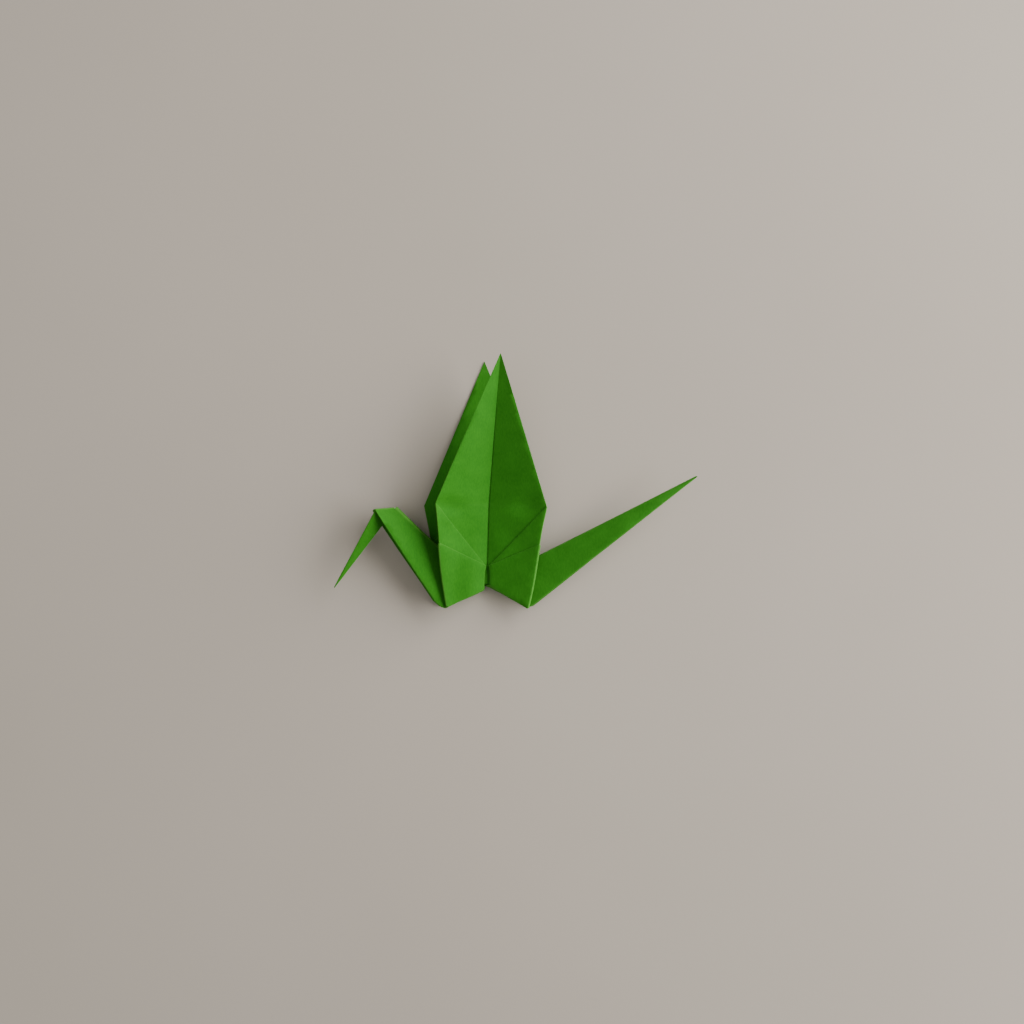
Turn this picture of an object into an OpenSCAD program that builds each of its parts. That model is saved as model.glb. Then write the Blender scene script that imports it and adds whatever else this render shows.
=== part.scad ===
// Paper crane lying on its side, folded from one square sheet.
// +X points to the tail's side, +Y to the wing tips, +Z up from the table.
// The origin is the middle of the crane's outline, on the surface it lies on.

/* [Sheet] */
// Side of the square sheet
paper_side = 150; // [75:5:300]
// Thickness of the paper
paper_thickness = 0.1; // [0.08:0.01:0.16]
// Air between two pressed layers
layer_gap = 0.06; // [0.04:0.01:0.12]

/* [Body] */
// Tilt of the front half's side above the neck, degrees
front_tilt_left = 31; // [10:1:36]
// Tilt of the front half's side above the tail, degrees
front_tilt_right = 13; // [8:1:30]
// Turn of the front half against the back half, degrees clockwise
front_turn = 1.7; // [0:0.1:4]
// Shift of the front half towards the tail
front_shift = 0.6; // [0:0.05:1]
// Space between the two folded edges on each side of the centre line
centre_gap = 0.9; // [0.4:0.1:2]

/* [Wings] */
// Rise of the front wing above the table, degrees
wing_lift = 14; // [4:1:25]
// Turn of the front wing, degrees clockwise
wing_turn = 4.9; // [0:0.1:8]
// Length that the front wing gained by an uneven fold
wing_gain = 1.6; // [0:0.1:3]
// Space between the raw edges where they leave the wing
raw_edge_gap = 1.2; // [0.4:0.1:2.5]

/* [Neck and head] */
// Slope of the fold line that turns the neck up out of the body, degrees
neck_fold_slope = 23; // [15:0.1:30]
// Distance from the wing crotch down to the neck's fold line
neck_fold_drop = 1.9; // [0:0.1:4]
// Rise of the neck out of the table plane, degrees
neck_tilt = 10; // [4:1:12]
// Half of the angle that the neck gapes, degrees
neck_gape = 10; // [4:1:12]
// Length of the neck's lower edge from the body to the head
neck_length = 39; // [25:0.5:48]
// Length that the neck and head lost by uneven folds
neck_loss = 2.3; // [0:0.1:5]
// Slope of the head's fold line, degrees
head_fold_slope = 2.5; // [-5:0.5:15]

/* [Tail] */
// Slope of the fold line that turns the tail up out of the body, degrees
tail_fold_slope = 31.4; // [20:0.1:33]
// Distance from the wing crotch down to the tail's fold line
tail_fold_drop = 0; // [0:0.1:4]
// Length that the tail gained by uneven folds
tail_gain = 1.9; // [0:0.1:5]
// Rise of the tail out of the table plane, degrees
tail_tilt = 7; // [3:1:12]
// Half of the angle that the tail gapes, degrees
tail_gape = 7; // [3:1:12]

/* [Hidden] */

LEFT = -1;
RIGHT = 1;
FRONT = 1;
BACK = -1;

pitch = paper_thickness + layer_gap;

// --- The crane flat, from its crease angles. u runs out from the centre line. ---
half_diagonal = paper_side / sqrt(2);
wing_angle = 22.5;
narrow_angle = 11.25;
hinge_y = half_diagonal / sqrt(2) - half_diagonal;
tip = [0, paper_side - half_diagonal];
hump = [0, 0];
crotch = [0, hinge_y];

// Where a line through a point of the centre line meets the narrowed side edge
function on_side_edge(y, slope) =
    let (run = (y + half_diagonal) * tan(narrow_angle) / (1 - slope * tan(narrow_angle)))
    [run, y + slope * run];

shoulder = on_side_edge(tip.y, -1 / tan(wing_angle));
hip = on_side_edge(hump.y, -1);
side_hinge = on_side_edge(hinge_y, 0);
flap_top = [0, norm([hinge_y, hinge_y + half_diagonal]) - half_diagonal];
wing_root = [0, shoulder.y];

function fold_slope(side) = side == LEFT ? neck_fold_slope : tail_fold_slope;
function fold_start(side) =
    [0, hinge_y - (side == LEFT ? neck_fold_drop : tail_fold_drop)];
function fold_end(side) = on_side_edge(fold_start(side).y, -tan(fold_slope(side)));
function limb_foot(side) = [0, (side == LEFT ? neck_loss : -tail_gain) - half_diagonal];

// --- Layers. Each half has eight, counted from the middle outwards. ---
limb_layers = 4;
body_layers = 8;
half_layer = 0.5;
body_first = limb_layers + half_layer;
middle_z = paper_thickness / 2 + (body_first + body_layers - 1) * pitch;

function tilt(side, half) =
    half == BACK ? 0 : side == LEFT ? front_tilt_left : front_tilt_right;
function layer_rise(level) = (body_first + level) * pitch;
// Both sides of a layer meet at this distance from the centre line
function valley_inset(level, half) =
    layer_rise(level) * tan((tilt(LEFT, half) + tilt(RIGHT, half)) / 2);

function turned(p, angle, centre) =
    let (q = p - centre)
    centre + [q.x * cos(angle) + q.y * sin(angle), q.y * cos(angle) - q.x * sin(angle), q.z];

// A point of the flat crane, on one layer of one quarter, in space
function body_point(side, half, level, p) =
    let (lean = tilt(side, half), rise = layer_rise(level))
    half == BACK
        ? [side * p.x, p.y, middle_z - rise]
        : turned(
            [
                front_shift + side * (p.x * cos(lean) - rise * sin(lean)),
                p.y,
                middle_z + p.x * sin(lean) + rise * cos(lean)
            ],
            front_turn,
            [front_shift, hinge_y, 0]
        );

wing_length = tip.y - shoulder.y;
wing_low = 2;
wing_high = 3;

// The tip of a wing, on its inner or outer layer
function wing_tip(half, level) =
    let (
        root = body_point(LEFT, half, wing_low, [valley_inset(wing_low, half), wing_root.y]),
        step = (level - wing_low) * pitch
    )
    half == FRONT
        ? root + (wing_length + wing_gain) * [
            sin(wing_turn) * cos(wing_lift),
            cos(wing_turn) * cos(wing_lift),
            sin(wing_lift)
        ] + step * [0, -sin(wing_lift), cos(wing_lift)]
        : [0, tip.y, paper_thickness + pitch - step];

// --- Polygons in space ---
// Moves each edge of a flat convex polygon outwards; offsets[i] is for the edge after point i.
// A sharp corner moves no further than the limit.
corner_limit = 6 * pitch;
function grown(points, offsets) =
    let (n = len(points))
    [
        for (i = [0 : n - 1])
            let (
                before = points[i] - points[(i + n - 1) % n],
                after = points[(i + 1) % n] - points[i],
                d1 = before / norm(before),
                d2 = after / norm(after),
                turn = norm(cross(d1, d2)),
                move = (offsets[i] * d1 - offsets[(i + n - 1) % n] * d2) / turn,
                far = norm(move)
            )
            far > corner_limit ? points[i] + move * corner_limit / far : points[i] + move
    ];

function reversed(list) = [for (i = [len(list) - 1 : -1 : 0]) list[i]];
function edge(points, i) = [points[i], points[(i + 1) % len(points)]];

// Each fold turns the sheet over, so neighbouring layers are listed in opposite directions
function turns(side, half, level) =
    (level + (side == LEFT ? 1 : 0) + (half == BACK ? 1 : 0)) % 2;
function facing(turned_over, points) = turned_over == 1 ? reversed(points) : points;

// The paper that turns round a fold, from an edge of one layer to the same edge of another
function fold(turned_over, edge_a, edge_b) =
    facing(turned_over, [edge_a[1], edge_a[0], edge_b[0], edge_b[1]]);

// --- The body ---
// Nested folds at the side edge: a layer that wraps others runs further out
function side_wrap(level) =
    (abs(level - (body_layers / 2 - half_layer)) - half_layer) * pitch;

// How far the inner edge of a layer stays from the centre line
function inner_inset(level, half) =
    level == 0 ? valley_inset(0, half) + centre_gap / 2
    : level < wing_high ? valley_inset(level, half)
    : level == wing_high ? valley_inset(level, half) + raw_edge_gap / 2
    : -pitch;
// The four flap layers share one inner edge
function flap_inset(half) = valley_inset(body_layers - 1, half) + centre_gap / 2 + pitch;

// The layers that turn into the neck or the tail, from the inside out
limb_levels = [0, 3, 4, 7];
function fold_number(level) =
    let (found = search(level, limb_levels))
    len(found) == 0 ? 0 : found[0];

// One layer of a quarter, round from its top inner corner
function body_facet(side, half, level) =
    let (
        start = fold_start(side),
        end = fold_end(side),
        flap_side = [flap_inset(half), 0],
        corners =
            level == 0 ? [hump, hip, end, start]
            : level == 1 ? [hump, hip, side_hinge, crotch]
            : level == 2 ? [wing_root, shoulder, side_hinge, crotch]
            : level == 3 ? [wing_root, shoulder, end, start]
            : level == 4 ? [flap_top + flap_side, shoulder, end, start + flap_side]
            : level == 5 ? [flap_top + flap_side, shoulder, side_hinge]
            : level == 6 ? [flap_top + flap_side, hip, side_hinge]
            : [flap_top + flap_side, hip, end, start + flap_side],
        wrap = len(corners) == 3
            ? [0, side_wrap(level), 0]
            : [0, side_wrap(level), fold_number(level) * pitch, -inner_inset(level, half)]
    )
    grown([for (p = corners) body_point(side, half, level, p)], wrap);

function wing_facet(side, half, level) =
    let (root_edge = edge(body_facet(side, half, level), 0))
    [wing_tip(half, level), root_edge[1], root_edge[0]];

function body_quarter(side, half) =
    let (
        layers = [for (level = [0 : body_layers - 1]) body_facet(side, half, level)],
        wings = [for (level = [wing_low, wing_high]) wing_facet(side, half, level)],
        over = [for (level = [0 : body_layers - 1]) turns(side, half, level)],
        top = 0,
        outer = 1,
        bottom = 2,
        inner = 3
    )
    concat(
        [for (level = [0 : body_layers - 1]) facing(over[level], layers[level])],
        [for (i = [0, 1]) facing(over[wing_low + i], wings[i])],
        // Narrowed side edge
        [
            for (level = [0 : body_layers / 2 - 1])
                fold(
                    over[level],
                    edge(layers[level], outer),
                    edge(layers[body_layers - 1 - level], outer)
                )
        ],
        // Upper edges, the wing's side edge, the wing's hinge line and the flap's centre edge
        [
            for (level = [0, 4, 6])
                fold(over[level], edge(layers[level], top), edge(layers[level + 1], top))
        ],
        [fold(over[wing_low], edge(wings[0], top), edge(wings[1], top))],
        [
            for (level = [1, 5])
                fold(over[level], edge(layers[level], bottom), edge(layers[level + 1], bottom))
        ],
        [fold(over[4], edge(layers[4], inner), edge(layers[7], inner))]
    );

// Small faces where several folds of a quarter meet: shoulder, side hinge, hip, flap top
function body_corners(side, half) =
    let (
        layers = [for (level = [0 : body_layers - 1]) body_facet(side, half, level)],
        over = turns(side, half, 0)
    )
    [
        for (ring = [
            [[2, 1], [3, 1], [4, 1], [5, 1]],
            [[1, 2], [2, 2], [5, 2], [6, 2]],
            [[0, 1], [1, 1], [6, 1], [7, 1]],
            [[4, 0], [7, 0], [6, 0], [5, 0]]
        ])
            facing(over, [for (corner = ring) layers[corner[0]][corner[1]]])
    ];

// The fold that joins the front and back halves along the back of the hump
function spine(side) =
    fold(
        turns(side, FRONT, 0),
        edge(body_facet(side, FRONT, 0), 3),
        edge(body_facet(side, BACK, 0), 3)
    );

// The end of the hump, where both spines meet the upper edges
hump_end = [
    body_facet(RIGHT, FRONT, 1)[0],
    body_facet(RIGHT, FRONT, 0)[0],
    body_facet(RIGHT, BACK, 0)[0],
    body_facet(RIGHT, BACK, 1)[0],
    body_facet(LEFT, BACK, 0)[0],
    body_facet(LEFT, FRONT, 0)[0]
];

// --- Neck, head and tail. Limb points run along the limb's spine, then outwards. ---
// The fold line mirrors a limb from straight down to this angle above the table's X axis
function limb_angle(side) = 90 - 2 * fold_slope(side);
function limb_tilt(side) = side == LEFT ? neck_tilt : tail_tilt;
function limb_gape(side) = side == LEFT ? neck_gape : tail_gape;

function limb_flat(side, p) = [fold_start(side).y - p.y, p.x];

neck_root = limb_flat(LEFT, fold_end(LEFT));
neck_point = limb_flat(LEFT, limb_foot(LEFT));
head_line_angle = limb_angle(LEFT) + head_fold_slope;
head_line = [cos(head_line_angle), sin(head_line_angle)];
head_outer = neck_root + neck_length * (neck_point - neck_root) / norm(neck_point - neck_root);
head_inner = head_outer - head_line * head_outer.y / head_line.y;
beak = head_outer + 2 * ((neck_point - head_outer) * head_line) * head_line
    - (neck_point - head_outer);

// The neck spreads by the head's layers where the head turns back into it
neck_spread = limb_layers * pitch / head_inner.x;

// A limb point on a layer; gape_width is how far out it lies where the halves stand apart
function limb_point(side, half, layer_count, spread, p, gape_width) =
    let (
        angle = limb_angle(side),
        lean = limb_tilt(side),
        x = p.x * cos(angle) + p.y * sin(angle),
        y = p.x * sin(angle) - p.y * cos(angle),
        rise = half * (layer_count * pitch + gape_width * sin(limb_gape(side)) + p.x * spread)
    )
    [
        front_shift / 2 + side * (centre_gap / 2 + pitch + x * cos(lean) - rise * sin(lean)),
        fold_start(side).y + y,
        middle_z + x * sin(lean) + rise * cos(lean)
    ];

function limb_count(i) = limb_layers - half_layer - i;
function head_count(i) = i + half_layer;
function outer_wrap(i) = i == 0 || i == limb_layers - 1 ? pitch : 0;
// The raw edges lie a little inside the fold that covers them
function spine_wrap(i) = i == 0 ? pitch : i == 1 ? -pitch : 0;

function tail_facet(half, i) =
    grown(
        [
            for (flat = [fold_start(RIGHT), fold_end(RIGHT), limb_foot(RIGHT)])
                let (p = limb_flat(RIGHT, flat))
                limb_point(RIGHT, half, limb_count(i), 0, p, p.y)
        ],
        [i * pitch, outer_wrap(i), spine_wrap(i)]
    );

function neck_facet(half, i) =
    grown(
        [
            for (p = [[0, 0], neck_root, head_outer, head_inner])
                limb_point(LEFT, half, limb_count(i), neck_spread, p, p.y)
        ],
        [i * pitch, outer_wrap(i), (limb_layers - 1 - i) * pitch, spine_wrap(i)]
    );

// The head's layers lie in the opposite order, inside the neck
function head_facet(half, i) =
    grown(
        [
            limb_point(LEFT, half, head_count(i), 0, head_inner, 0),
            limb_point(LEFT, half, head_count(i), 0, head_outer, head_outer.y),
            limb_point(LEFT, half, head_count(i), 0, beak, 0)
        ],
        [(limb_layers - 1 - i) * pitch, outer_wrap(i), i == 1 ? -pitch : 0]
    );

// A limb's own layers, with two folds along the outer edge and one along the spine
function limb_half(side, half, layers, outer, inner) =
    let (over = [for (i = [0 : limb_layers - 1]) turns(side, half, i)])
    concat(
        [for (i = [0 : limb_layers - 1]) facing(over[i], layers[i])],
        [
            fold(over[0], edge(layers[0], outer), edge(layers[3], outer)),
            fold(over[1], edge(layers[1], outer), edge(layers[2], outer)),
            fold(over[2], edge(layers[2], inner), edge(layers[3], inner))
        ]
    );

// The turn from four layers of one stretch into the next stretch. Edge "last" of the old
// layers runs the other way round than edge 0 of the new ones.
function limb_turn(side, half, old, last, new) =
    let (
        over = [for (i = [0 : limb_layers - 1]) turns(side, half, i)],
        old_out = [for (i = [0 : limb_layers - 1]) edge(old[i], last)[0]],
        old_in = [for (i = [0 : limb_layers - 1]) edge(old[i], last)[1]],
        new_in = [for (i = [0 : limb_layers - 1]) new[i][0]],
        new_out = [for (i = [0 : limb_layers - 1]) new[i][1]]
    )
    concat(
        [
            for (i = [0 : limb_layers - 1])
                fold(over[i], [old_out[i], old_in[i]], [new_out[i], new_in[i]])
        ],
        [
            facing(over[0], [old_out[0], old_out[3], new_out[3], new_out[0]]),
            facing(over[0], [old_out[1], new_out[1], new_out[2], old_out[2]]),
            facing(over[0], [old_in[2], new_in[2], new_in[3], old_in[3]])
        ]
    );

// The fold along a spine that joins the front and back, and the small face at its start
function limb_spine(side, front, back, inner) =
    fold(turns(side, FRONT, 0), edge(front[0], inner), edge(back[0], inner));
function spine_turn(side, old_front, old_back, new_front, new_back) =
    facing(turns(side, FRONT, 0), [old_front, new_front, new_back, old_back]);

function limb_body_layers(side, half) = [for (level = limb_levels) body_facet(side, half, level)];
function tail_layers(half) = [for (i = [0 : limb_layers - 1]) tail_facet(half, i)];
function neck_layers(half) = [for (i = [0 : limb_layers - 1]) neck_facet(half, i)];
function head_layers(half) = [for (i = [0 : limb_layers - 1]) head_facet(half, i)];

tail = concat(
    [for (half = [FRONT, BACK]) each limb_half(RIGHT, half, tail_layers(half), 1, 2)],
    [
        for (half = [FRONT, BACK])
            each limb_turn(RIGHT, half, limb_body_layers(RIGHT, half), 2, tail_layers(half))
    ],
    [
        limb_spine(RIGHT, tail_layers(FRONT), tail_layers(BACK), 2),
        spine_turn(
            RIGHT,
            body_facet(RIGHT, FRONT, 0)[3],
            body_facet(RIGHT, BACK, 0)[3],
            tail_facet(FRONT, 0)[0],
            tail_facet(BACK, 0)[0]
        )
    ]
);

neck_and_head = concat(
    [for (half = [FRONT, BACK]) each limb_half(LEFT, half, neck_layers(half), 1, 3)],
    [for (half = [FRONT, BACK]) each limb_half(LEFT, half, head_layers(half), 1, 2)],
    [
        for (half = [FRONT, BACK])
            each limb_turn(LEFT, half, limb_body_layers(LEFT, half), 2, neck_layers(half))
    ],
    [
        for (half = [FRONT, BACK])
            each limb_turn(LEFT, half, neck_layers(half), 2, head_layers(half))
    ],
    [
        limb_spine(LEFT, neck_layers(FRONT), neck_layers(BACK), 3),
        limb_spine(LEFT, head_layers(FRONT), head_layers(BACK), 2),
        spine_turn(
            LEFT,
            body_facet(LEFT, FRONT, 0)[3],
            body_facet(LEFT, BACK, 0)[3],
            neck_facet(FRONT, 0)[0],
            neck_facet(BACK, 0)[0]
        ),
        spine_turn(
            LEFT,
            neck_facet(FRONT, 0)[3],
            neck_facet(BACK, 0)[3],
            head_facet(FRONT, 0)[0],
            head_facet(BACK, 0)[0]
        )
    ]
);

// --- The whole sheet, as the surface midway through the paper ---
sheet = concat(
    [for (side = [LEFT, RIGHT], half = [FRONT, BACK]) each body_quarter(side, half)],
    [for (side = [LEFT, RIGHT], half = [FRONT, BACK]) each body_corners(side, half)],
    [for (side = [LEFT, RIGHT]) spine(side)],
    [hump_end],
    neck_and_head,
    tail
);

// Every face as triangles, and every corner as a number in one list of points
same_point = pitch / 100;
corners = [for (face = sheet) each face];
first_same = [
    for (i = [0 : len(corners) - 1])
        [for (j = [0 : i]) if (norm(corners[j] - corners[i]) < same_point) j][0]
];
face_starts = [for (i = 0, at = 0; i < len(sheet); at = at + len(sheet[i]), i = i + 1) at];
triangles = [
    for (f = [0 : len(sheet) - 1], k = [1 : len(sheet[f]) - 2])
        let (
            start = face_starts[f],
            triple = [first_same[start], first_same[start + k], first_same[start + k + 1]]
        )
        if (triple[0] != triple[1] && triple[1] != triple[2] && triple[0] != triple[2]) triple
];
function triangle_normal(t) =
    let (c = cross(corners[t[1]] - corners[t[0]], corners[t[2]] - corners[t[0]]))
    norm(c) == 0 ? [0, 0, 0] : c / norm(c);
normals = [for (t = triangles) triangle_normal(t)];

// Faces whose normals agree this well count as one
same_way = 0.99;
// A corner moves along the mean of the faces round it, far enough to clear each by half the paper
function distinct(vectors) =
    [
        for (i = [0 : len(vectors) - 1])
            if (
                norm(vectors[i]) > 0
                && len([for (j = [0 : 1 : i - 1]) if (vectors[j] * vectors[i] > same_way) j]) == 0
            )
                vectors[i]
    ];
function total(vectors) = [for (v = vectors) 1] * vectors;
most_mitre = 2;
function corner_move(index) =
    let (
        around = distinct([
            for (k = [0 : len(triangles) - 1])
                if (triangles[k][0] == index || triangles[k][1] == index || triangles[k][2] == index)
                    normals[k]
        ]),
        sum = total(around),
        mean = sum / norm(sum)
    )
    mean * min(most_mitre, len(around) / (mean * sum)) * paper_thickness / 2;
moves = [for (i = [0 : len(corners) - 1]) first_same[i] == i ? corner_move(i) : [0, 0, 0]];

// The sheet's own edge: triangle edges that no neighbour shares
half_edges = [for (t = triangles) each [[t[0], t[1]], [t[1], t[2]], [t[2], t[0]]]];
function edge_key(a, b) = a * len(corners) + b;
edge_keys = [for (e = half_edges) edge_key(e[0], e[1])];
raw_edges = [for (e = half_edges) if (len(search(edge_key(e[1], e[0]), edge_keys)) == 0) e];

// --- The outline's middle, which is the origin ---
function middle(axis) =
    let (values = [for (p = corners) p[axis]])
    (min(values) + max(values)) / 2;

// The lowest layer is pressed flat by the surface that it lies on
pressed_share = 0.35;
pressed = pressed_share * paper_thickness;
function on_table(p) = [p.x, p.y, p.z < pressed ? 0 : p.z];

module folded_crane() {
    count = len(corners);
    reversed_triangles = [for (t = triangles) reversed(t)];
    color("forestgreen")
        translate([-middle(0), -middle(1), 0])
            polyhedron(
                concat(
                    [for (i = [0 : count - 1]) on_table(corners[i] + moves[i])],
                    [for (i = [0 : count - 1]) on_table(corners[i] - moves[i])]
                ),
                concat(
                    reversed_triangles,
                    [for (t = triangles) [t[0] + count, t[1] + count, t[2] + count]],
                    [
                        for (e = raw_edges) each [
                            [e[0], e[1], e[0] + count],
                            [e[1], e[1] + count, e[0] + count]
                        ]
                    ]
                )
            );
}

folded_crane();
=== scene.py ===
import math

import bmesh
import bpy
import numpy as np
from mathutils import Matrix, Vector
from mathutils.geometry import delaunay_2d_cdt


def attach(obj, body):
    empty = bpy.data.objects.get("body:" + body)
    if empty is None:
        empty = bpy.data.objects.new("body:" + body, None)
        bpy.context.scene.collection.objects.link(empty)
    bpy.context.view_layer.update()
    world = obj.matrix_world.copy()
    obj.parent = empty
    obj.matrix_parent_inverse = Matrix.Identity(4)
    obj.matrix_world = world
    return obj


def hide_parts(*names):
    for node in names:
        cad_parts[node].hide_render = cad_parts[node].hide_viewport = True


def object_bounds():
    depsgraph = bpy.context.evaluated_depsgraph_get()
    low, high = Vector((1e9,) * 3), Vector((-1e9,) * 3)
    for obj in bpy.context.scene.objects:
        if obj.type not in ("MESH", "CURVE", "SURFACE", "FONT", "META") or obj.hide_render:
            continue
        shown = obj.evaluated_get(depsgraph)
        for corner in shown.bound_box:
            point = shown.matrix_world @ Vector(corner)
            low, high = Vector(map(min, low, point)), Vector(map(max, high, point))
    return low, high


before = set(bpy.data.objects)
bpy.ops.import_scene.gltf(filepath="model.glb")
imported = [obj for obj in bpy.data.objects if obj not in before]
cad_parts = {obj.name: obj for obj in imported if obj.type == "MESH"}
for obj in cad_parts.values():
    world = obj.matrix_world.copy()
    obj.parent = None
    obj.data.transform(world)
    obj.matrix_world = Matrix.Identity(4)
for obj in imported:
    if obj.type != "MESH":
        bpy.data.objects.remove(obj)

cad_low, cad_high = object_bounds()
cad_middle = (cad_low + cad_high) / 2

# The folded sheet is worked out in millimetres, and becomes metres when its mesh is made.
MM = 0.001

# The neck and head are on the left, and the tail on the right. The front half is the upper one.
LEFT, RIGHT = -1, 1
FRONT, BACK = 1, -1
SIDES = (LEFT, RIGHT)
HALVES = (FRONT, BACK)

# --- The sheet and its folds, much as in the part's own design ---
PAPER_SIDE = 150.0
THICKNESS = 0.1
# From the middle of one layer to the next
PITCH = 0.16
# How far the front half's two sides open, in degrees, and how it is turned and moved
FRONT_TILT = {LEFT: 31.0, RIGHT: 13.0}
FRONT_TURN = 1.7
FRONT_SHIFT = 0.6
# Between the neck's and the tail's sides of the body
CENTRE_GAP = 0.9
# The front wing's rise and turn in degrees, and its length beyond that of the flat pattern
WING_LIFT = 14.0
WING_TURN = 4.9
WING_GAIN = 1.6
# Between the two raw edges that meet in the middle
RAW_EDGE_GAP = 0.6
# The folds that turn the neck and the tail outwards: their slope in degrees, and how far they
# start below the place where the flat pattern has them
FOLD_SLOPE = {LEFT: 23.0, RIGHT: 31.4}
FOLD_DROP = {LEFT: 1.5, RIGHT: 0.0}
# How much longer a limb is than that of the flat pattern
LIMB_GAIN = {LEFT: -0.9, RIGHT: 2.3}
# How a limb rises from the surface, and how far its halves open, in degrees
LIMB_TILT = {LEFT: 10.0, RIGHT: 7.0}
LIMB_GAPE = {LEFT: 30.0, RIGHT: 7.0}
# Along the neck's outer edge, and the slope of the fold at its end, in degrees
NECK_LENGTH = 39.0
HEAD_FOLD_SLOPE = 4.5

LIMB_LAYERS = 4
BODY_LAYERS = 8
BODY_FIRST = LIMB_LAYERS + 0.5
MIDDLE_Z = THICKNESS / 2 + (BODY_FIRST + BODY_LAYERS - 1) * PITCH

# --- Mesh fineness ---
STEP = 1.5
ROUND_STEPS = 6
# Inner points keep this share of a step from a layer's rim
RIM_CLEARANCE = 0.45
# No corner of a grown outline moves further than this
CORNER_LIMIT = 6 * PITCH
# For delaunay_2d_cdt: keep the triangles inside the outline, and join points nearer than this
INSIDE_ONLY = 1
SAME_POINT = 1e-7
# Points nearer than this are welded, in mm
WELD = 0.002
# Edges sharper than this are shaded sharp, in degrees
SHARP_ANGLE = 50


def sin(degrees):
    return math.sin(math.radians(degrees))


def cos(degrees):
    return math.cos(math.radians(degrees))


def tan(degrees):
    return math.tan(math.radians(degrees))


def smooth(value):
    """0 below 0, 1 above 1, and an even curve between."""
    t = np.clip(value, 0.0, 1.0)
    return t * t * (3 - 2 * t)


# --- The flat crane: x runs out from the centre line ---
HALF_DIAGONAL = PAPER_SIDE / math.sqrt(2)
WING_ANGLE = 22.5
NARROW_ANGLE = 11.25
HINGE_Y = HALF_DIAGONAL / math.sqrt(2) - HALF_DIAGONAL


def on_side_edge(y, slope):
    run = (y + HALF_DIAGONAL) * tan(NARROW_ANGLE) / (1 - slope * tan(NARROW_ANGLE))
    return np.array([run, y + slope * run])


TIP = np.array([0.0, PAPER_SIDE - HALF_DIAGONAL])
HUMP = np.array([0.0, 0.0])
CROTCH = np.array([0.0, HINGE_Y])
SHOULDER = on_side_edge(TIP[1], -1 / tan(WING_ANGLE))
HIP = on_side_edge(0.0, -1.0)
SIDE_HINGE = on_side_edge(HINGE_Y, 0.0)
FLAP_TOP = np.array([0.0, math.hypot(HINGE_Y, HINGE_Y + HALF_DIAGONAL) - HALF_DIAGONAL])
WING_ROOT = np.array([0.0, SHOULDER[1]])
WING_LENGTH = TIP[1] - SHOULDER[1]


def fold_start(side):
    return np.array([0.0, HINGE_Y - FOLD_DROP[side]])


def fold_end(side):
    return on_side_edge(HINGE_Y - FOLD_DROP[side], -tan(FOLD_SLOPE[side]))


def limb_foot(side):
    return np.array([0.0, -HALF_DIAGONAL - LIMB_GAIN[side]])


# --- Layers in space ---
def tilt(side, half):
    return FRONT_TILT[side] if half == FRONT else 0.0


def layer_rise(level):
    return (BODY_FIRST + level) * PITCH


def valley_inset(level, half):
    return layer_rise(level) * tan((tilt(LEFT, half) + tilt(RIGHT, half)) / 2)


def body_place(side, half, level):
    """The flat crane to space, for one layer of one quarter of the body."""
    lean, rise = tilt(side, half), layer_rise(level)

    def place(p):
        if half == BACK:
            return np.array([side * p[0], p[1], MIDDLE_Z - rise])
        x = side * (p[0] * cos(lean) - rise * sin(lean))
        y = p[1] - HINGE_Y
        return np.array(
            [
                FRONT_SHIFT + x * cos(FRONT_TURN) + y * sin(FRONT_TURN),
                HINGE_Y + y * cos(FRONT_TURN) - x * sin(FRONT_TURN),
                MIDDLE_Z + p[0] * sin(lean) + rise * cos(lean),
            ]
        )

    return place


def grown(points, offsets):
    """Moves each edge of a convex outline outwards; offsets[i] is for the edge after point i."""
    n, out = len(points), []
    for i in range(n):
        before = points[i] - points[i - 1]
        after = points[(i + 1) % n] - points[i]
        d1, d2 = before / np.linalg.norm(before), after / np.linalg.norm(after)
        turn = abs(d1[0] * d2[1] - d1[1] * d2[0])
        move = (offsets[i] * d1 - offsets[i - 1] * d2) / turn
        far = np.linalg.norm(move)
        out.append(points[i] + (move * CORNER_LIMIT / far if far > CORNER_LIMIT else move))
    return out


# --- The sheet's mesh, made of layers, rounded folds and the small faces where folds meet ---
# Per point, how pale the paper is painted along the folds: rubbed dye and painted highlight
vertices, faces, wear_and_highlight = [], [], []
# The rounded end of each fold, by the points that it joins
fold_ends = {}
# Paleness of a face's rim, where the round of a fold has 1; it paints both rubbed dye and a highlight
# along the folds
RIM_WEAR_AND_HIGHLIGHT = 0.6


def add_vertex(point, fold_pale=0.0):
    vertices.append(np.asarray(point, float))
    wear_and_highlight.append(fold_pale)
    return len(vertices) - 1


def pieces_along(a, b):
    return max(1, math.ceil(np.linalg.norm(np.asarray(b) - np.asarray(a)) / STEP))


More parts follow.
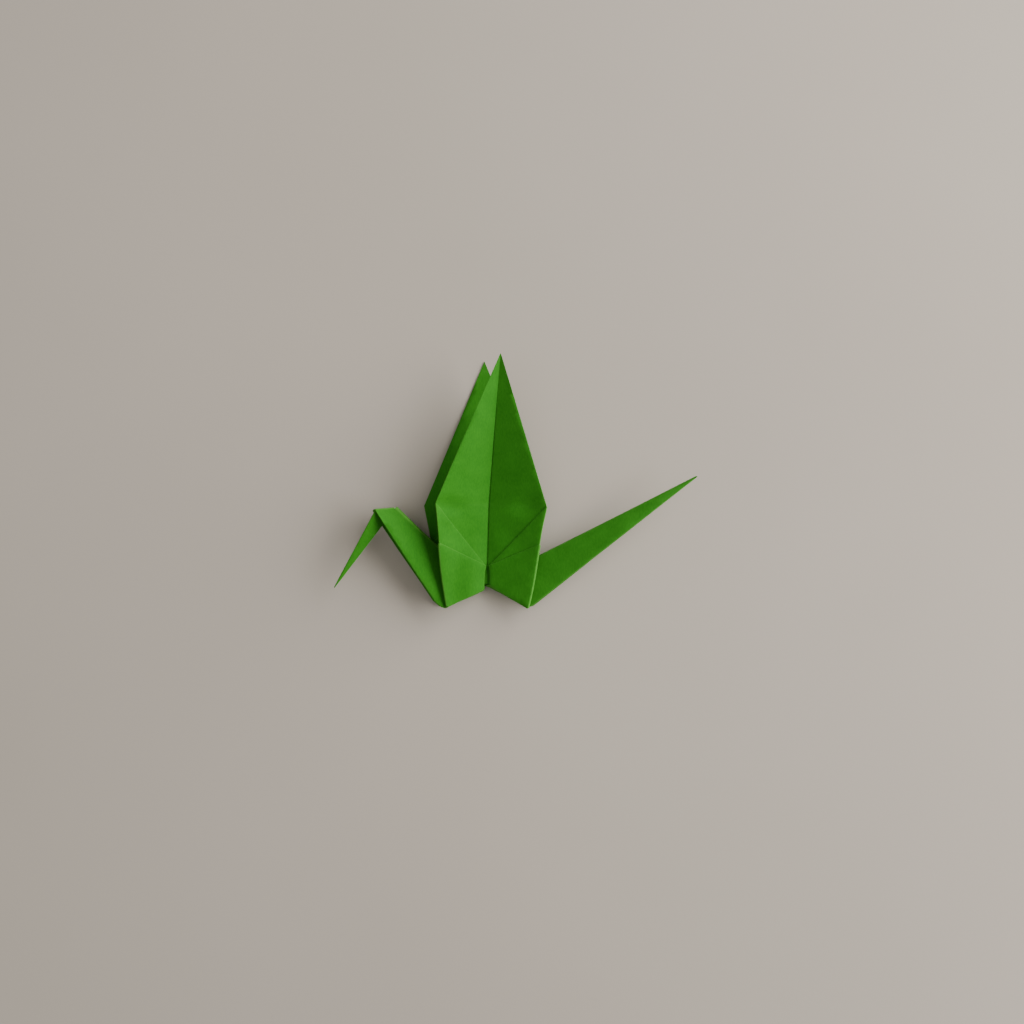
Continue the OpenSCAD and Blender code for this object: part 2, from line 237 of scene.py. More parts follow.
class Layer:
    """One flat face between folds. Each of its edges is a row of points in space."""

    def __init__(self, outline, counts, place):
        self.rows = []
        flat, n = [], len(outline)
        for i in range(n):
            a, b = outline[i], outline[(i + 1) % n]
            row = [a + (b - a) * k / counts[i] for k in range(counts[i] + 1)]
            self.rows.append([place(p) for p in row])
            flat += row[:-1]
        self.centre = place(sum(outline) / n)
        border = len(flat)
        flat += self.inner_points(outline)
        ids = [add_vertex(place(p), RIM_WEAR_AND_HIGHLIGHT if k < border else 0.0) for k, p in enumerate(flat)]
        ring = [list(range(border))]
        found = delaunay_2d_cdt([Vector(p) for p in flat], [], ring, INSIDE_ONLY, SAME_POINT)
        triangles, sources = found[2], found[3]
        for triangle in triangles:
            faces.append([ids[sources[v][0]] for v in triangle])

    @staticmethod
    def inner_points(outline):
        """A triangular grid that keeps clear of the outline's edges."""
        low, high = np.min(outline, axis=0), np.max(outline, axis=0)
        row_step = STEP * sin(60)
        inside = []
        for j in range(int((high[1] - low[1]) / row_step) + 1):
            for i in range(int((high[0] - low[0]) / STEP) + 2):
                p = low + np.array([(i + 0.5 * (j % 2)) * STEP, (j + 0.5) * row_step])
                gaps = []
                for k in range(len(outline)):
                    a, b = outline[k], outline[(k + 1) % len(outline)]
                    d = (b - a) / np.linalg.norm(b - a)
                    gaps.append(d[0] * (p - a)[1] - d[1] * (p - a)[0])
                gaps = np.array(gaps)
                if (gaps > RIM_CLEARANCE * STEP).all() or (gaps < -RIM_CLEARANCE * STEP).all():
                    inside.append(p)
        return inside

    def row(self, i, backwards=False):
        return self.rows[i][::-1] if backwards else self.rows[i]


# No fold bulges further than this, unless a smaller limit is given
WIDEST_ROUND = 9.0


def round_fold(row_a, row_b, centre, most=WIDEST_ROUND, first=1.0, last=1.0):
    """Paper that turns round a fold from one row of points to another. It bulges away from centre,
    by no more than most, and by a share of that at its first and last ends."""
    count, lines = len(row_a), []
    for k in range(count):
        a, b = row_a[k], row_b[k]
        across = b - a
        along = row_a[min(k + 1, count - 1)] - row_a[max(k - 1, 0)]
        size = np.linalg.norm(across)
        out = np.cross(across, along)
        out = out / max(np.linalg.norm(out), 1e-9)
        if np.dot(out, (a + b) / 2 - centre) < 0:
            out = -out
        share = first + (last - first) * k / (count - 1)
        bulge = min(size / 2, most) * share
        lines.append(
            [
                (a + b) / 2 - across / 2 * cos(180 * s / ROUND_STEPS)
                + out * bulge * sin(180 * s / ROUND_STEPS)
                for s in range(ROUND_STEPS + 1)
            ]
        )
    # Fold rounds are painted palest, for rubbed dye and painted highlight together
    rims = (0, ROUND_STEPS)
    fold_pale = [RIM_WEAR_AND_HIGHLIGHT if s in rims else 1.0 for s in range(ROUND_STEPS + 1)]
    ids = [[add_vertex(p, w) for p, w in zip(line, fold_pale)] for line in lines]
    for k in range(count - 1):
        for s in range(ROUND_STEPS):
            faces.append([ids[k][s], ids[k][s + 1], ids[k + 1][s + 1], ids[k + 1][s]])
    for line in (lines[0], lines[-1]):
        fold_ends[(tuple(line[0]), tuple(line[-1]))] = line
        fold_ends[(tuple(line[-1]), tuple(line[0]))] = line[::-1]


def corner_face(points):
    """The small face where folds meet, closed round the ends of those folds."""
    ring = []
    for i, a in enumerate(points):
        b = points[(i + 1) % len(points)]
        ring += fold_ends.get((tuple(a), tuple(b)), [a, b])[:-1]
    hub = add_vertex(sum(ring) / len(ring), 1.0)
    ids = [add_vertex(p, 1.0) for p in ring]
    for i in range(len(ids)):
        faces.append([hub, ids[i], ids[(i + 1) % len(ids)]])


# --- The body and wings ---
LIMB_LEVELS = (0, 3, 4, 7)
TOP, OUTER, BOTTOM, INNER = range(4)
FIRST_POINT = 0


def inner_inset(level, half):
    if level == 0:
        return valley_inset(0, half) + CENTRE_GAP / 2
    if level == 3:
        return valley_inset(level, half) + RAW_EDGE_GAP / 2
    if level < 3:
        return valley_inset(level, half)
    return -PITCH


def body_layer(side, half, level):
    start, end = fold_start(side), fold_end(side)
    flap = np.array([valley_inset(BODY_LAYERS - 1, half) + CENTRE_GAP / 2 + PITCH, 0.0])
    plain = [
        [HUMP, HIP, end, start],
        [HUMP, HIP, SIDE_HINGE, CROTCH],
        [WING_ROOT, SHOULDER, SIDE_HINGE, CROTCH],
        [WING_ROOT, SHOULDER, end, start],
        [FLAP_TOP, SHOULDER, end, start],
        [FLAP_TOP, SHOULDER, SIDE_HINGE],
        [FLAP_TOP, HIP, SIDE_HINGE],
        [FLAP_TOP, HIP, end, start],
    ][level]
    counts = [pieces_along(p, plain[(i + 1) % len(plain)]) for i, p in enumerate(plain)]
    outline = [p + flap if level >= 4 and p[0] == 0 else p for p in plain]
    if len(plain) == 4:
        outline = grown(outline, [0.0, 0.0, 0.0, -inner_inset(level, half) if level < 4 else 0.0])
    return Layer(outline, counts, body_place(side, half, level))


def wing_tip(half, level):
    step = (level - 2) * PITCH
    if half == BACK:
        return np.array([0.0, TIP[1], THICKNESS + PITCH - step])
    root = body_place(LEFT, half, 2)(np.array([valley_inset(2, half), WING_ROOT[1]]))
    reach = WING_LENGTH + WING_GAIN
    level_share = cos(WING_LIFT)
    along = np.array([sin(WING_TURN) * level_share, cos(WING_TURN) * level_share, sin(WING_LIFT)])
    return root + reach * along + step * np.array([0.0, -sin(WING_LIFT), cos(WING_LIFT)])


def wing_layer(half, level, under):
    """The wing's face over one side: flat from its tip to the row where it leaves the body."""
    inner, outer, tip = under.rows[TOP][0], under.rows[TOP][-1], wing_tip(half, level)
    corners = [np.array([0.0, WING_LENGTH]), np.array([SHOULDER[0], 0.0]), np.array([0.0, 0.0])]

    def place(p):
        out, up = p[0] / SHOULDER[0], p[1] / WING_LENGTH
        return inner * (1 - out - up) + outer * out + tip * up

    counts = [pieces_along(TIP, SHOULDER), len(under.rows[TOP]) - 1, pieces_along(TIP, WING_ROOT)]
    return Layer(corners, counts, place)


def build_quarter(side, half):
    layers = [body_layer(side, half, level) for level in range(BODY_LAYERS)]
    wings = [wing_layer(half, level, layers[level]) for level in (2, 3)]

    def join(i, j, name):
        middle = (layers[i].centre + layers[j].centre) / 2
        edge_i = -1 if name == INNER else name
        round_fold(layers[i].rows[edge_i], layers[j].rows[edge_i], middle)

    for i in range(BODY_LAYERS // 2):
        join(i, BODY_LAYERS - 1 - i, OUTER)
    for i in (0, 4, 6):
        join(i, i + 1, TOP)
    for i in (1, 5):
        join(i, i + 1, BOTTOM)
    join(4, 7, INNER)
    centre = (wings[0].centre + wings[1].centre) / 2
    round_fold(wings[0].rows[0], wings[1].rows[0], centre, first=0.0)
    for ring in (
        ((2, OUTER), (3, OUTER), (4, OUTER), (5, OUTER)),
        ((1, BOTTOM), (2, BOTTOM), (5, BOTTOM), (6, BOTTOM)),
        ((0, OUTER), (1, OUTER), (6, OUTER), (7, OUTER)),
        ((4, TOP), (7, TOP), (6, TOP), (5, TOP)),
    ):
        corner_face([layers[level].rows[edge][FIRST_POINT] for level, edge in ring])
    return layers


# --- Neck, head and tail. Limb points run along the limb's spine, then outwards. ---
def limb_angle(side):
    return 90 - 2 * FOLD_SLOPE[side]


def limb_flat(side, p):
    return np.array([fold_start(side)[1] - p[1], p[0]])


NECK_ROOT = limb_flat(LEFT, fold_end(LEFT))
NECK_POINT = limb_flat(LEFT, limb_foot(LEFT))
HEAD_LINE_ANGLE = limb_angle(LEFT) + HEAD_FOLD_SLOPE
HEAD_LINE = np.array([cos(HEAD_LINE_ANGLE), sin(HEAD_LINE_ANGLE)])
NECK_AXIS = (NECK_POINT - NECK_ROOT) / np.linalg.norm(NECK_POINT - NECK_ROOT)
# The gaping neck looks narrower towards the head than it does flat
NECK_CLOSED = 0.79
HEAD_OUTER = (NECK_ROOT + NECK_LENGTH * NECK_AXIS) * np.array([1.0, NECK_CLOSED])
HEAD_INNER = HEAD_OUTER - HEAD_LINE * HEAD_OUTER[1] / HEAD_LINE[1]
HEAD_UNFOLDED = NECK_POINT - HEAD_OUTER
BEAK = HEAD_OUTER + 2 * np.dot(HEAD_UNFOLDED, HEAD_LINE) * HEAD_LINE - HEAD_UNFOLDED
NECK_SPREAD = LIMB_LAYERS * PITCH / HEAD_INNER[0]

# The foot of a limb flares over this length, to meet the body's layers at the fold
FLARE_LENGTH = {LEFT: 24.0, RIGHT: 22.0}
# How far the back half of a limb shows past the front half's folded edge
BACK_SHOWS = {LEFT: 0.9, RIGHT: 0.4}
# How far the limb stands off its own line: just clear of the fold, and further out
FOOT_SWAY = {LEFT: np.array([-0.6, -0.5]), RIGHT: np.array([0.0, 0.0])}
SWAY = {LEFT: np.array([-0.9, -1.2]), RIGHT: np.array([0.0, 0.0])}
SWAY_START = 3.0
SWAY_LENGTH = 34.0


def limb_place(side, half, count, spread=0.0, spine_gap=None):
    """A limb's own plane to space. Both halves gape, and flare where they meet the body."""
    angle, lean = limb_angle(side), LIMB_TILT[side]
    end = limb_flat(side, fold_end(side))
    along = end / np.linalg.norm(end)

    def place(p):
        x = p[0] * cos(angle) + p[1] * sin(angle)
        y = p[0] * sin(angle) - p[1] * cos(angle)
        from_fold = p[0] * along[1] - p[1] * along[0]
        flare = 1 - smooth(from_fold / FLARE_LENGTH[side])
        gape = sin(LIMB_GAPE[side])
        opened = sin(tilt(side, half) - half * lean * p[1] / end[1])
        wide = spine_gap(p) if spine_gap else p[1]
        rise = half * (count * PITCH + wide * (gape + (opened - gape) * flare) + p[0] * spread)
        out = smooth(from_fold / SWAY_LENGTH)
        sway = (FOOT_SWAY[side] * (1 - out) + SWAY[side] * out) * smooth(from_fold / SWAY_START)
        from_middle = CENTRE_GAP / 2 + PITCH + x * cos(lean) - rise * sin(lean)
        return np.array(
            [
                FRONT_SHIFT / 2 + side * from_middle + sway[0],
                fold_start(side)[1] + y + sway[1],
                MIDDLE_Z + x * sin(lean) + rise * cos(lean),
            ]
        )

    return place


def limb_count(i):
    return LIMB_LAYERS - 0.5 - i


# Which row of a limb's layer is which: the root is row 0
LIMB_OUTER = 1
NECK_END = 2
TAIL_INNER, NECK_INNER, HEAD_INNER_EDGE = 2, 3, 2


def root_pieces(side):
    return pieces_along(fold_start(side), fold_end(side))


def tail_layer(half, i):
    outline = [limb_flat(RIGHT, p) for p in (fold_start(RIGHT), fold_end(RIGHT), limb_foot(RIGHT))]
    counts = [
        root_pieces(RIGHT),
        pieces_along(outline[1], outline[2]),
        pieces_along(outline[2], outline[0]),
    ]
    raw = -PITCH if i == 1 else 0.0
    wide = BACK_SHOWS[RIGHT] if half == BACK else 0.0
    return Layer(grown(outline, [0.0, wide, raw]), counts, limb_place(RIGHT, half, limb_count(i)))


def neck_layer(half, i):
    outline = [np.zeros(2), NECK_ROOT, HEAD_OUTER, HEAD_INNER]
    counts = [
        root_pieces(LEFT),
        pieces_along(NECK_ROOT, HEAD_OUTER),
        pieces_along(HEAD_OUTER, HEAD_INNER),
        pieces_along(HEAD_INNER, np.zeros(2)),
    ]
    raw = -PITCH if i == 1 else 0.0
    wide = BACK_SHOWS[LEFT] if half == BACK else 0.0
    place = limb_place(LEFT, half, limb_count(i), NECK_SPREAD)
    return Layer(grown(outline, [0.0, wide, 0.0, raw]), counts, place)


def head_layer(half, i):
    """The head's layers lie in the opposite order, inside the neck."""
    outline = [HEAD_INNER, HEAD_OUTER, BEAK]
    counts = [
        pieces_along(HEAD_OUTER, HEAD_INNER),
        pieces_along(HEAD_OUTER, BEAK),
        pieces_along(BEAK, HEAD_INNER),
    ]
    raw = -PITCH if i == 1 else 0.0
    axis = (BEAK - HEAD_INNER) / np.linalg.norm(BEAK - HEAD_INNER)

    def spine_gap(p):
        return abs(axis[0] * (p - HEAD_INNER)[1] - axis[1] * (p - HEAD_INNER)[0])

    place = limb_place(LEFT, half, i + 0.5, spine_gap=spine_gap)
    return Layer(grown(outline, [0.0, 0.0, raw]), counts, place)


# Folds are pressed flatter at a limb's tip: this share of their bulge is left there
TIP_SHARE = 0.4
# The most that the sheet bulges where it turns from one stretch into the next, and at the spine
TURN_ROUND = 0.55
SPINE_ROUND = 0.3


def limb_half(layers, outer, inner):
    """The folds along one half of a limb, each of which joins two of its four layers."""
    for i, j, edge, shares in (
        (0, 3, outer, {"last": TIP_SHARE}),
        (1, 2, outer, {"last": TIP_SHARE}),
        (2, 3, inner, {"first": TIP_SHARE}),
    ):
        middle = (layers[i].centre + layers[j].centre) / 2
        round_fold(layers[i].rows[edge], layers[j].rows[edge], middle, **shares)


def limb_turn(old, last, new):
    """The turn from four layers of one stretch into the next stretch, with its small faces."""
    for a, b in zip(old, new):
        round_fold(a.row(last, True), b.rows[0], (a.centre + b.centre) / 2, most=TURN_ROUND)
    out_old = [a.rows[last][0] for a in old]
    in_old = [a.rows[last][-1] for a in old]
    in_new = [b.rows[0][0] for b in new]
    out_new = [b.rows[0][-1] for b in new]
    corner_face([out_old[0], out_old[3], out_new[3], out_new[0]])
    corner_face([out_old[1], out_new[1], out_new[2], out_old[2]])
    corner_face([in_old[2], in_new[2], in_new[3], in_old[3]])


def spine(front, back, inner, first=1.0, most=WIDEST_ROUND):
    centre = (front.centre + back.centre) / 2
    round_fold(front.rows[inner], back.rows[inner], centre, most=most, first=first)


quarters = {(side, half): build_quarter(side, half) for side in SIDES for half in HALVES}
for side in SIDES:
    spine(quarters[side, FRONT][0], quarters[side, BACK][0], INNER, most=SPINE_ROUND)
corner_face(
    [
        quarters[RIGHT, FRONT][1].rows[0][0],
        quarters[RIGHT, FRONT][0].rows[0][0],
        quarters[RIGHT, BACK][0].rows[0][0],
        quarters[RIGHT, BACK][1].rows[0][0],
        quarters[LEFT, BACK][0].rows[0][0],
        quarters[LEFT, FRONT][0].rows[0][0],
    ]
)
tail = {half: [tail_layer(half, i) for i in range(LIMB_LAYERS)] for half in HALVES}
neck = {half: [neck_layer(half, i) for i in range(LIMB_LAYERS)] for half in HALVES}
head = {half: [head_layer(half, i) for i in range(LIMB_LAYERS)] for half in HALVES}
for half in HALVES:
    limb_half(tail[half], LIMB_OUTER, TAIL_INNER)
    limb_half(neck[half], LIMB_OUTER, NECK_INNER)
    limb_half(head[half], LIMB_OUTER, HEAD_INNER_EDGE)
    limb_turn([quarters[RIGHT, half][level] for level in LIMB_LEVELS], BOTTOM, tail[half])
    limb_turn([quarters[LEFT, half][level] for level in LIMB_LEVELS], BOTTOM, neck[half])
    limb_turn(neck[half], NECK_END, head[half])
spine(tail[FRONT][0], tail[BACK][0], TAIL_INNER, first=TIP_SHARE)
spine(neck[FRONT][0], neck[BACK][0], NECK_INNER)
spine(head[FRONT][0], head[BACK][0], HEAD_INNER_EDGE, first=TIP_SHARE)
for side, limb in ((RIGHT, tail), (LEFT, neck)):
    corner_face(
        [
            quarters[side, FRONT][0].rows[BOTTOM][-1],
            quarters[side, BACK][0].rows[BOTTOM][-1],
            limb[BACK][0].rows[0][0],
            limb[FRONT][0].rows[0][0],
        ]
    )
corner_face(
    [
        neck[FRONT][0].rows[3][0],
        neck[BACK][0].rows[3][0],
        head[BACK][0].rows[0][0],
        head[FRONT][0].rows[0][0],
    ]
)


# --- Soft shapes that handling gave the paper. They move all layers together. ---
# Where the front half's shoulders are, seen from above
SHOULDER_X = {LEFT: -17.0, RIGHT: 19.5}
SHOULDER_Y = WING_ROOT[1]
# The wing's rise is rounded over this, at the shoulders and far from them
SHARPEST_BEND = 2.0
SOFTEST_BEND = 11.0
BEND_REACH = 12.0
# Dents in the front half: x, y from the shoulders' line, reach in x and y, and depth
DENTS = (
    # Pinches beside the shoulders
    (SHOULDER_X[LEFT] + 5.5, -0.5, 5.4, 2.1, 1.2),
    (SHOULDER_X[RIGHT] - 4.5, -1.0, 5.0, 2.6, 0.7),
    # A hollow below the left shoulder, and a slighter one on the right
    (-6.5, -9.0, 6.5, 8.0, 0.9),
    (9.5, -10.0, 6.0, 8.0, 0.5),
)
# A valley along the crease from the left shoulder to the split below the middle
VALLEY_DEPTH = 1.3
VALLEY_REACH = 4.0
VALLEY_ROUND = 0.8
# The wing is a little cupped along its length
WING_CUP = 0.7
# The front of the left flap opens less towards its bottom corner: by this share, which it reaches
# this far below the shoulders and this far out
LEFT_CLOSES = 0.33
LEFT_CLOSES_DOWN = 26.0
LEFT_CLOSES_OUT = 9.0
# Below their middle, the two flaps of the front stand apart
SPLIT_X = FRONT_SHIFT + 0.45
SPLIT_TOP = FLAP_TOP[1] + 0.8
SPLIT_HALF_WIDTH = 0.5
SPLIT_LENGTH = 4.0
SPLIT_REACH = 5.0
SPLIT_BLEND = 0.15
SPLIT_FLOOR = MIDDLE_Z + 0.2
# The right flap and the tail's foot stand out further towards their bottom corner
RIGHT_OUT = (1.5, 0.9)
RIGHT_OUT_TOP = SHOULDER_Y - 4.0
RIGHT_OUT_DOWN = 28.0
RIGHT_OUT_ACROSS = 14.0
# Along the tail, that fades from here over this length
RIGHT_OUT_FADE_X = 20.0
RIGHT_OUT_FADE = 30.0
# The tail bends down a little past its middle
TAIL_BEND_X = 43.0
TAIL_BEND_SLOPE = 0.07
TAIL_BEND_ROUND = 6.0
# Faint waves all over, which fade out close to the floor: waves to a mm, and where they start
WAVE_HEIGHT = 0.05
WAVE_FADE = 2.0
WAVE_X = (0.55, 1.0)
WAVE_Y = (0.43, 0.4)


def soft_step(distance, width):
    """How much a corner of slope 1 rises when it is rounded over a width on both sides."""
    near = np.clip(distance, -width, width)
    return (near + width) ** 2 / (4 * width) - np.maximum(near, 0.0)


def wing_bend(x, y):
    """The wing rises in a soft curve, which sharpens towards the shoulders."""
    from_shoulder = np.minimum(x - SHOULDER_X[LEFT], SHOULDER_X[RIGHT] - x)
    width = SHARPEST_BEND + (SOFTEST_BEND - SHARPEST_BEND) * smooth(from_shoulder / BEND_REACH)
    return tan(WING_LIFT) * soft_step(y - SHOULDER_Y, width)


def dents(x, y):
    """The depth of all the dents together."""
    depths = np.zeros_like(x)
    for middle_x, below, reach_x, reach_y, depth in DENTS:
        away = ((x - middle_x) / reach_x) ** 2 + ((y - SHOULDER_Y - below) / reach_y) ** 2
        depths += depth * np.exp(-away)
    return depths


def valley(x, y):
    """The depth of the valley, which is V-shaped across but for its rounded bottom."""
    start = np.array([SHOULDER_X[LEFT], SHOULDER_Y])
    crease = np.array([FRONT_SHIFT, FLAP_TOP[1]]) - start
    length = np.linalg.norm(crease)
    along = ((x - start[0]) * crease[0] + (y - start[1]) * crease[1]) / length ** 2
    beside = ((x - start[0]) * crease[1] - (y - start[1]) * crease[0]) / length
    across = np.exp(-np.hypot(beside, VALLEY_ROUND) / VALLEY_REACH)
    return VALLEY_DEPTH * across * np.sin(math.pi * np.clip(along, 0, 1))


def cup(y):
    """The rise of the wing's cupped shape."""
    along = np.clip((y - SHOULDER_Y) / WING_LENGTH, 0, 1)
    return WING_CUP * np.sin(math.pi * along)


def with_left_closed(x, y, z):
    """Turns the left flap's front back about the body's middle line."""
    out, up = FRONT_SHIFT - x, z - MIDDLE_Z
    low = smooth((SHOULDER_Y - y) / LEFT_CLOSES_DOWN) * smooth(out / LEFT_CLOSES_OUT) * (up > 0)
    reach = np.hypot(out, up)
    angle = np.arctan2(up, out) * (1 - LEFT_CLOSES * low)
    x = np.where(out > 0, FRONT_SHIFT - reach * np.cos(angle), x)
    z = np.where(out > 0, MIDDLE_Z + reach * np.sin(angle), z)
    return x, z


def split(x, y, z):
    """How far to the right the split moves the front's flaps."""
    from_split = x - SPLIT_X
    near = np.exp(-((from_split / SPLIT_REACH) ** 2)) * (z > SPLIT_FLOOR)
    apart = smooth((SPLIT_TOP - y) / SPLIT_LENGTH) * near
    return SPLIT_HALF_WIDTH * apart * np.clip(from_split / SPLIT_BLEND, -1, 1)


def right_share(x, y):
    """How much of RIGHT_OUT each point moves by."""
    down = smooth((RIGHT_OUT_TOP - y) / RIGHT_OUT_DOWN)
    across = smooth((x - FRONT_SHIFT) / RIGHT_OUT_ACROSS)
    return down * across * (1 - smooth((x - RIGHT_OUT_FADE_X) / RIGHT_OUT_FADE))


def tail_bend(x):
    past = np.maximum(x - TAIL_BEND_X, 0.0)
    return TAIL_BEND_SLOPE * past ** 2 / (past + TAIL_BEND_ROUND)


def waves(x, y, z):
    wave_x = np.sin(x * WAVE_X[0] + WAVE_X[1])
    wave_y = np.sin(y * WAVE_Y[0] + WAVE_Y[1])
    return WAVE_HEIGHT * wave_x * wave_y * smooth(z / WAVE_FADE)


def shaped(points):
    """All the soft shapes, one after the other."""
    x, y, z = points.T
    front = smooth(z - MIDDLE_Z)
    z = z + front * (wing_bend(x, y) - dents(x, y) - valley(x, y) + cup(y))
    x, z = with_left_closed(x, y, z)
    x = x + split(x, y, z)
    share = right_share(x, y)
    x = x + RIGHT_OUT[0] * share
    y = y + RIGHT_OUT[1] * share
    z = z - tail_bend(x)
    z = z + waves(x, y, z)
    return np.stack([x, y, z], axis=1)


# Where the middle of the CAD model's box lies from the top of the crane's hump
BOX_MIDDLE = np.array([10.25, 1.70])


def paper_mesh():
    """The whole sheet, placed by the middle of the CAD model's box. It has no thickness yet."""
    points = shaped(np.array(vertices))
    points[:, :2] += np.array(cad_middle)[:2] / MM - BOX_MIDDLE
    mesh = bpy.data.meshes.new("folded_sheet")
    mesh.from_pydata([tuple(p * MM) for p in points], [], faces)
    # This attribute carries the painted highlight and rubbed dye of the folds to the material
    fold_pale = mesh.attributes.new("wear_and_highlight", "FLOAT", "POINT")
    fold_pale.data.foreach_set("value", wear_and_highlight)
    bm = bmesh.new()
    bm.from_mesh(mesh)
    bmesh.ops.remove_doubles(bm, verts=bm.verts, dist=WELD * MM)
    bmesh.ops.recalc_face_normals(bm, faces=bm.faces)
    bm.to_mesh(mesh)
    bm.free()
    return mesh


def thick_sheet():
    """Gives the sheet its thickness, and shades it smooth but for its cut edges."""
    thin = bpy.data.objects.new("thin", paper_mesh())
    bpy.context.collection.objects.link(thin)
    solidify = thin.modifiers.new("thickness", "SOLIDIFY")
    solidify.thickness = THICKNESS * MM
    solidify.offset = 0.0
    thickened = thin.evaluated_get(bpy.context.evaluated_depsgraph_get())
    mesh = bpy.data.meshes.new_from_object(thickened)
    bpy.data.objects.remove(thin)
    mesh.name = "folded_sheet"
    mesh.shade_smooth()
    mesh.set_sharp_from_angle(angle=math.radians(SHARP_ANGLE))
    return mesh


crane = bpy.data.objects.new("folded_sheet", thick_sheet())
bpy.context.collection.objects.link(crane)

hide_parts("folded_crane")
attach(crane, "root")


# --- Materials ---
class Nodes:
    """A short way to add and join shader nodes."""

    def __init__(self, name):
        self.material = bpy.data.materials.new(name)
        self.material.use_nodes = True
        self.tree = self.material.node_tree
        self.shader = self.tree.nodes["Principled BSDF"]
        self.place = self.add("ShaderNodeTexCoord").outputs["Object"]

    def add(self, kind, **settings):
        node = self.tree.nodes.new(kind)
        for key, value in settings.items():
            setattr(node, key, value)
        return node

    def join(self, start, end):
        self.tree.links.new(start, end)

    def noise(self, scale, detail, stretch=(1, 1, 1)):
        """Noise by its scale to a metre, in the object's own space."""
        mapping = self.add("ShaderNodeMapping")
        mapping.inputs["Scale"].default_value = stretch
        self.join(self.place, mapping.inputs["Vector"])
        node = self.add("ShaderNodeTexNoise")
        node.inputs["Scale"].default_value = scale
        node.inputs["Detail"].default_value = detail
        self.join(mapping.outputs["Vector"], node.inputs["Vector"])
        return node.outputs["Fac"]

    def ramp(self, value, stops):
        node = self.add("ShaderNodeValToRGB")
        for k, (at, colour) in enumerate(stops):
            stop = node.color_ramp.elements[k] if k < 2 else node.color_ramp.elements.new(at)
            stop.position = at
            stop.color = (*colour, 1)
        self.join(value, node.inputs["Fac"])
        return node.outputs["Color"]

    def math(self, operation, a, b):
        node = self.add("ShaderNodeMath", operation=operation)
        for k, value in enumerate((a, b)):
            if isinstance(value, (int, float)):
                node.inputs[k].default_value = value
            else:
                self.join(value, node.inputs[k])
        return node.outputs["Value"]

    def mix(self, factor, a, b):
        node = self.add("ShaderNodeMix", data_type="RGBA")
        if isinstance(factor, float):
            node.inputs["Factor"].default_value = factor
        else:
            self.join(factor, node.inputs["Factor"])
        for name, value in (("A", a), ("B", b)):
            socket = next(i for i in node.inputs if i.name == name and i.type == "RGBA")
            if isinstance(value, tuple):
                socket.default_value = (*value, 1)
            else:
                self.join(value, socket)
        return next(o for o in node.outputs if o.type == "RGBA")

    def bump(self, height, distance, strength=1.0, before=None):
        node = self.add("ShaderNodeBump")
        node.inputs["Strength"].default_value = strength
        node.inputs["Distance"].default_value = distance
        self.join(height, node.inputs["Height"])
        if before is not None:
            self.join(before, node.inputs["Normal"])
        return node.outputs["Normal"]


# Linear colours, each with the two ends of its range
DYE = ((0.019, 0.152, 0.005), (0.027, 0.186, 0.008))
STRANDS = ((0.016, 0.136, 0.004), (0.036, 0.212, 0.012))
# Paler green along the folds, painted both as rubbed dye and as highlight where the rounds catch the
# light
FOLD_WEAR_AND_HIGHLIGHT = (0.1, 0.32, 0.045)
FLOOR_SHADE = ((0.46, 0.413, 0.358), (0.482, 0.434, 0.378))
STRAND_SHARE = 0.38
# Pale rubbed dye and painted highlight show only close to the round of a fold, and there only in part
FOLD_PALE_POWER = 5.0
FOLD_PALE_SHARE = 0.9
PAPER_ROUGHNESS = (0.62, 0.86)
FLOOR_ROUGHNESS = 0.85
SPECULAR = 0.1


def green_paper():
    """Thin dyed paper: fine fibres, faint clouds in the dye, and pale lines along the folds, both
    rubbed dye and painted highlight.
    """
    n = Nodes("green_paper")
    clouds = n.noise(scale=170, detail=4)
    fibres = n.noise(scale=2600, detail=5, stretch=(1, 0.35, 1))
    grain = n.noise(scale=5200, detail=3)
    patches = n.noise(scale=420, detail=3)
    dye = n.ramp(clouds, [(0.3, DYE[0]), (0.7, DYE[1])])
    strands = n.ramp(fibres, [(0.35, STRANDS[0]), (0.68, STRANDS[1])])
    body = n.mix(STRAND_SHARE, dye, strands)
    # Paler near the folds: rubbed dye together with painted highlight
    near_fold = n.add("ShaderNodeAttribute", attribute_name="wear_and_highlight").outputs["Fac"]
    fold_paleness = n.math("POWER", near_fold, FOLD_PALE_POWER)
    patchy = n.math("MULTIPLY", fold_paleness, n.math("MULTIPLY", patches, FOLD_PALE_SHARE))
    n.join(n.mix(patchy, body, FOLD_WEAR_AND_HIGHLIGHT), n.shader.inputs["Base Color"])
    rough = n.add("ShaderNodeMapRange")
    rough.inputs["To Min"].default_value, rough.inputs["To Max"].default_value = PAPER_ROUGHNESS
    n.join(fibres, rough.inputs["Value"])
    n.join(rough.outputs["Result"], n.shader.inputs["Roughness"])
    n.shader.inputs["Specular IOR Level"].default_value = SPECULAR
    coarse = n.bump(clouds, distance=0.00012, strength=0.6)
    fine = n.bump(fibres, distance=0.00003, strength=0.7, before=coarse)
    finest = n.bump(grain, distance=0.000012, strength=0.6, before=fine)
    n.join(finest, n.shader.inputs["Normal"])
    return n.material


def pale_floor():
    """A plain pale surface with faint clouds."""
    n = Nodes("pale_floor")
    clouds = n.noise(scale=7, detail=3)
    shade = n.ramp(clouds, [(0.3, FLOOR_SHADE[0]), (0.7, FLOOR_SHADE[1])])
    n.join(shade, n.shader.inputs["Base Color"])
    n.shader.inputs["Roughness"].default_value = FLOOR_ROUGHNESS
    n.shader.inputs["Specular IOR Level"].default_value = SPECULAR
    grain = n.noise(scale=900, detail=4)
    n.join(n.bump(grain, distance=0.00003, strength=0.5), n.shader.inputs["Normal"])
    return n.material


crane.data.materials.clear()
crane.data.materials.append(green_paper())


# --- Floor, light and camera ---
def link(obj):
    bpy.context.collection.objects.link(obj)
    return obj


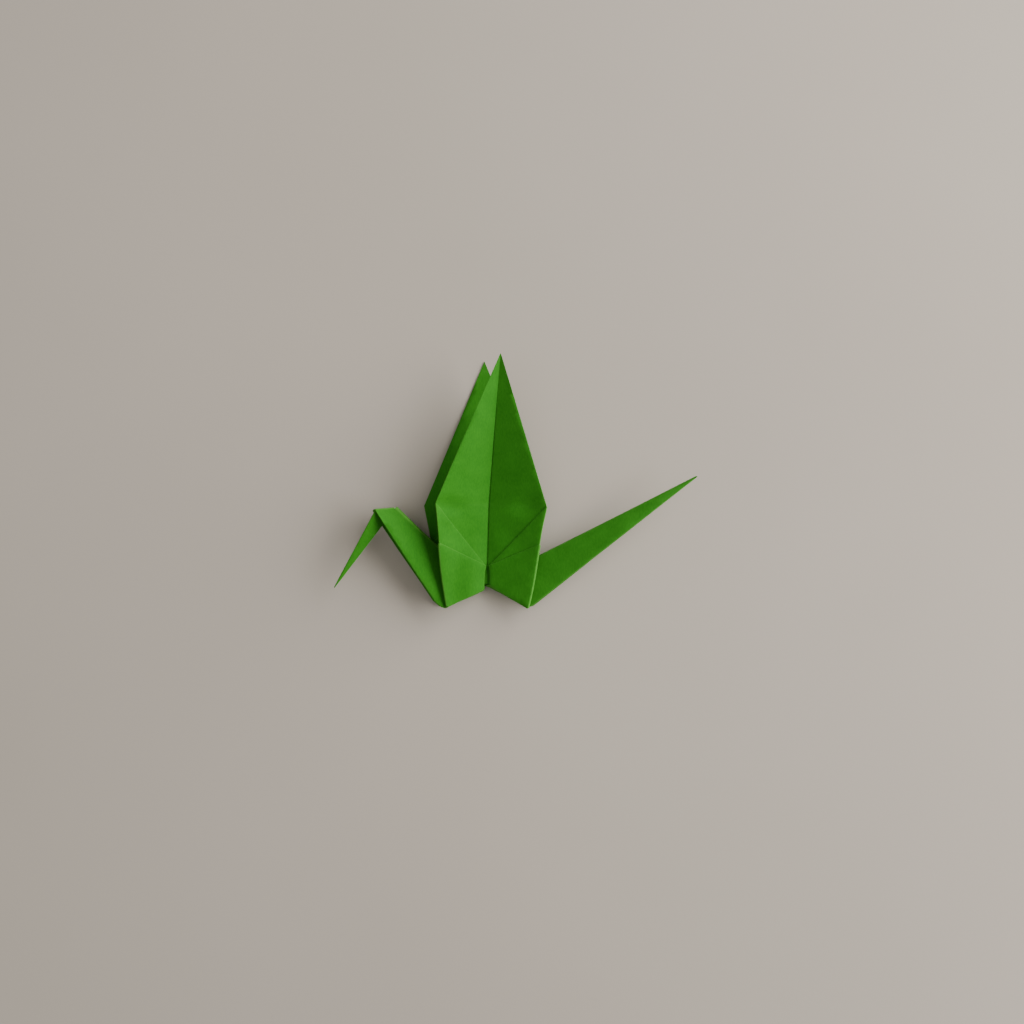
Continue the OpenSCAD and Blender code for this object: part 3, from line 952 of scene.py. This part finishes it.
# In metres, from the floor's middle to its edges
FLOOR_REACH = 3.0
floor_corners = [(x * FLOOR_REACH, y * FLOOR_REACH, 0) for x, y in ((-1, -1), (1, -1), (1, 1), (-1, 1))]
floor_mesh = bpy.data.meshes.new("floor")
floor_mesh.from_pydata(floor_corners, [], [(0, 1, 2, 3)])
floor = link(bpy.data.objects.new("floor", floor_mesh))
floor_mesh.materials.append(pale_floor())


def area_light(name, azimuth, elevation, distance, size, power, colour):
    """A soft rectangular light that faces the crane. Angles are in degrees."""
    data = bpy.data.lights.new(name, "AREA")
    data.shape = "RECTANGLE"
    data.size, data.size_y = size
    data.energy = power
    data.color = colour
    light = link(bpy.data.objects.new(name, data))
    level = distance * cos(elevation)
    place = (level * cos(azimuth), level * sin(azimuth), distance * sin(elevation))
    light.location = place
    light.rotation_euler = (-Vector(place)).to_track_quat("-Z", "Y").to_euler()


area_light(
    "key",
    azimuth=18,
    elevation=25,
    distance=1.0,
    size=(1.5, 0.75),
    power=31.0,
    colour=(1.0, 0.975, 0.95),
)
area_light(
    "fill",
    azimuth=200,
    elevation=65,
    distance=1.1,
    size=(0.9, 0.9),
    power=1.2,
    colour=(0.95, 0.97, 1.0),
)

STUDIO_COLOUR = (0.98, 0.95, 0.87, 1)
STUDIO_STRENGTH = 0.34
world = bpy.data.worlds.new("studio")
bpy.context.scene.world = world
world.use_nodes = True
background = world.node_tree.nodes["Background"]
background.inputs["Color"].default_value = STUDIO_COLOUR
background.inputs["Strength"].default_value = STUDIO_STRENGTH

# A hand-held phone's view, straight down
SENSOR = 36.0
CAMERA_LENS = 27.07
CAMERA_FROM_MIDDLE = Vector((-0.9, -8.66, 0.0)) * MM
CAMERA_HEIGHT = 261.2 * MM
NEAREST_SEEN = 0.01
camera_data = bpy.data.cameras.new("camera")
camera_data.sensor_width = SENSOR
camera_data.lens = CAMERA_LENS
camera_data.clip_start = NEAREST_SEEN
camera = link(bpy.data.objects.new("camera", camera_data))
camera.location = (
    cad_middle.x + CAMERA_FROM_MIDDLE.x,
    cad_middle.y + CAMERA_FROM_MIDDLE.y,
    CAMERA_HEIGHT,
)
bpy.context.scene.camera = camera
